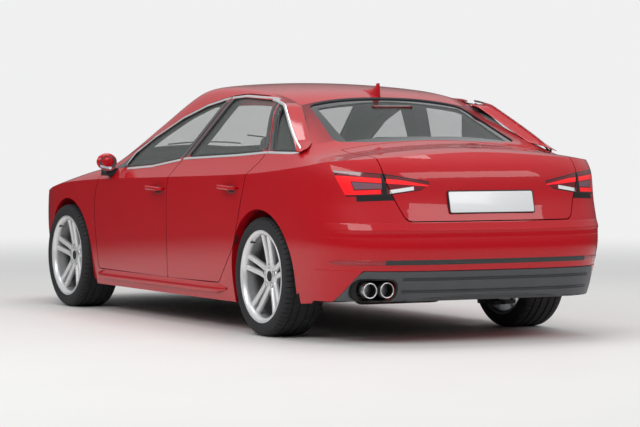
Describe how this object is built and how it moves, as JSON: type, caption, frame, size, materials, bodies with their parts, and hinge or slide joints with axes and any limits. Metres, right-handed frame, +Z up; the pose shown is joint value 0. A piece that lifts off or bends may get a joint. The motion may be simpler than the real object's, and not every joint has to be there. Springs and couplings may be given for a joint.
{
  "type": "saloon car",
  "caption": "Four-door saloon car on alloy wheels, with opening doors, bonnet and boot lid, steered front wheels and a furnished cabin.",
  "frame": {"origin": "on the ground under the middle of the car", "axes": "+X forward to the nose, +Y to the left side, +Z up"},
  "size_m": [4.7252, 2.028, 1.4252],
  "materials": {
    "red_paint": "gloss",
    "window_glass": "gloss",
    "tyre_rubber": "matte",
    "silver_alloy": "satin",
    "disc_iron": "machined",
    "chassis_steel": "satin",
    "black_plastic": "matte",
    "grey_plastic": "matte",
    "lamp_red": "gloss",
    "lamp_clear": "gloss",
    "seat_fabric": "woven",
    "dash_plastic": "matte",
    "steel_pipe": "brushed",
    "cast_engine": "cast"
  },
  "bodies": {
    "car_body": {"centre_console": "dash_plastic", "dashboard": "dash_plastic", "engine_block": "cast_engine", "exhaust": "steel_pipe", "floor_pan": "red_paint", "front_bumper": "red_paint", "front_seats": "seat_fabric", "front_suspension": "chassis_steel", "front_wing_left": "red_paint", "front_wing_right": "red_paint", "grille": "black_plastic", "headlamps": "lamp_clear", "quarter_glass": "window_glass", "radiator": "black_plastic", "rear_bench": "seat_fabric", "rear_bumper": "red_paint", "rear_diffuser": "grey_plastic", "rear_suspension": "chassis_steel", "rear_window": "window_glass", "roof_panel": "red_paint", "side_frame_left": "red_paint", "side_frame_right": "red_paint", "steering_column": "dash_plastic", "tail_lamps_side": "lamp_red", "undertray": "black_plastic", "windscreen": "window_glass"},
    "bonnet_assembly": {"bonnet": "red_paint"},
    "boot_lid_assembly": {"boot_lid": "red_paint", "tail_lamps_lid": "lamp_red"},
    "front_left_wheel": {"brake_disc_front_left": "disc_iron", "rim_front_left": "silver_alloy", "tyre_front_left": "tyre_rubber"},
    "front_right_wheel": {"brake_disc_front_right": "disc_iron", "rim_front_right": "silver_alloy", "tyre_front_right": "tyre_rubber"},
    "rear_left_wheel": {"brake_disc_rear_left": "disc_iron", "rim_rear_left": "silver_alloy", "tyre_rear_left": "tyre_rubber"},
    "rear_right_wheel": {"brake_disc_rear_right": "disc_iron", "rim_rear_right": "silver_alloy", "tyre_rear_right": "tyre_rubber"},
    "front_door_left_assembly": {"door_mirror_left": "red_paint", "front_door_glass_left": "window_glass", "front_door_left": "red_paint"},
    "front_door_right_assembly": {"door_mirror_right": "red_paint", "front_door_glass_right": "window_glass", "front_door_right": "red_paint"},
    "steering_knuckle_left": {"front_knuckle_left": "chassis_steel"},
    "steering_knuckle_right": {"front_knuckle_right": "chassis_steel"},
    "rear_door_left_assembly": {"rear_door_glass_left": "window_glass", "rear_door_left": "red_paint"},
    "rear_door_right_assembly": {"rear_door_glass_right": "window_glass", "rear_door_right": "red_paint"},
    "steering_wheel_assembly": {"steering_wheel": "dash_plastic"}
  },
  "joints": [
    {"name": "front_door_left_hinge", "type": "hinge", "parent": "car_body", "child": "front_door_left_assembly", "pos_m": [1.02008, 0.924, 0.6], "axis": [0, 0, -1], "range_deg": [0, 65]},
    {"name": "rear_door_left_hinge", "type": "hinge", "parent": "car_body", "child": "rear_door_left_assembly", "pos_m": [-0.07234, 0.924, 0.6], "axis": [0, 0, -1], "range_deg": [0, 65]},
    {"name": "steer_left", "type": "hinge", "parent": "car_body", "child": "steering_knuckle_left", "pos_m": [1.483, 0.741, 0.3305], "axis": [0, 0, 1], "range_deg": [-33, 33]},
    {"name": "front_left_wheel_spin", "type": "hinge", "parent": "steering_knuckle_left", "child": "front_left_wheel", "pos_m": [1.483, 0.786, 0.3305], "axis": [0, 1, 0], "continuous": true},
    {"name": "rear_left_wheel_spin", "type": "hinge", "parent": "car_body", "child": "rear_left_wheel", "pos_m": [-1.337, 0.7775, 0.3305], "axis": [0, 1, 0], "continuous": true},
    {"name": "front_door_right_hinge", "type": "hinge", "parent": "car_body", "child": "front_door_right_assembly", "pos_m": [1.02008, -0.924, 0.6], "axis": [0, 0, 1], "range_deg": [0, 65]},
    {"name": "rear_door_right_hinge", "type": "hinge", "parent": "car_body", "child": "rear_door_right_assembly", "pos_m": [-0.07234, -0.924, 0.6], "axis": [0, 0, 1], "range_deg": [0, 65]},
    {"name": "steer_right", "type": "hinge", "parent": "car_body", "child": "steering_knuckle_right", "pos_m": [1.483, -0.741, 0.3305], "axis": [0, 0, 1], "range_deg": [-33, 33]},
    {"name": "front_right_wheel_spin", "type": "hinge", "parent": "steering_knuckle_right", "child": "front_right_wheel", "pos_m": [1.483, -0.786, 0.3305], "axis": [0, 1, 0], "continuous": true},
    {"name": "rear_right_wheel_spin", "type": "hinge", "parent": "car_body", "child": "rear_right_wheel", "pos_m": [-1.337, -0.7775, 0.3305], "axis": [0, 1, 0], "continuous": true},
    {"name": "bonnet_hinge", "type": "hinge", "parent": "car_body", "child": "bonnet_assembly", "pos_m": [0.93634, 0, 0.99649], "axis": [0, -1, 0], "range_deg": [0, 50]},
    {"name": "boot_lid_hinge", "type": "hinge", "parent": "car_body", "child": "boot_lid_assembly", "pos_m": [-1.74645, 0, 1.08466], "axis": [0, 1, 0], "range_deg": [0, 70]},
    {"name": "steering_wheel_turn", "type": "hinge", "parent": "car_body", "child": "steering_wheel_assembly", "pos_m": [0.4396, 0.37, 0.77772], "axis": [-0.9135, 0, 0.4067], "range_deg": [-462, 462]}
  ],
  "couplings": [
    {"joint": "steer_right", "follows": "steer_left", "ratio": 1},
    {"joint": "steering_wheel_turn", "follows": "steer_left", "ratio": 14}
  ]
}
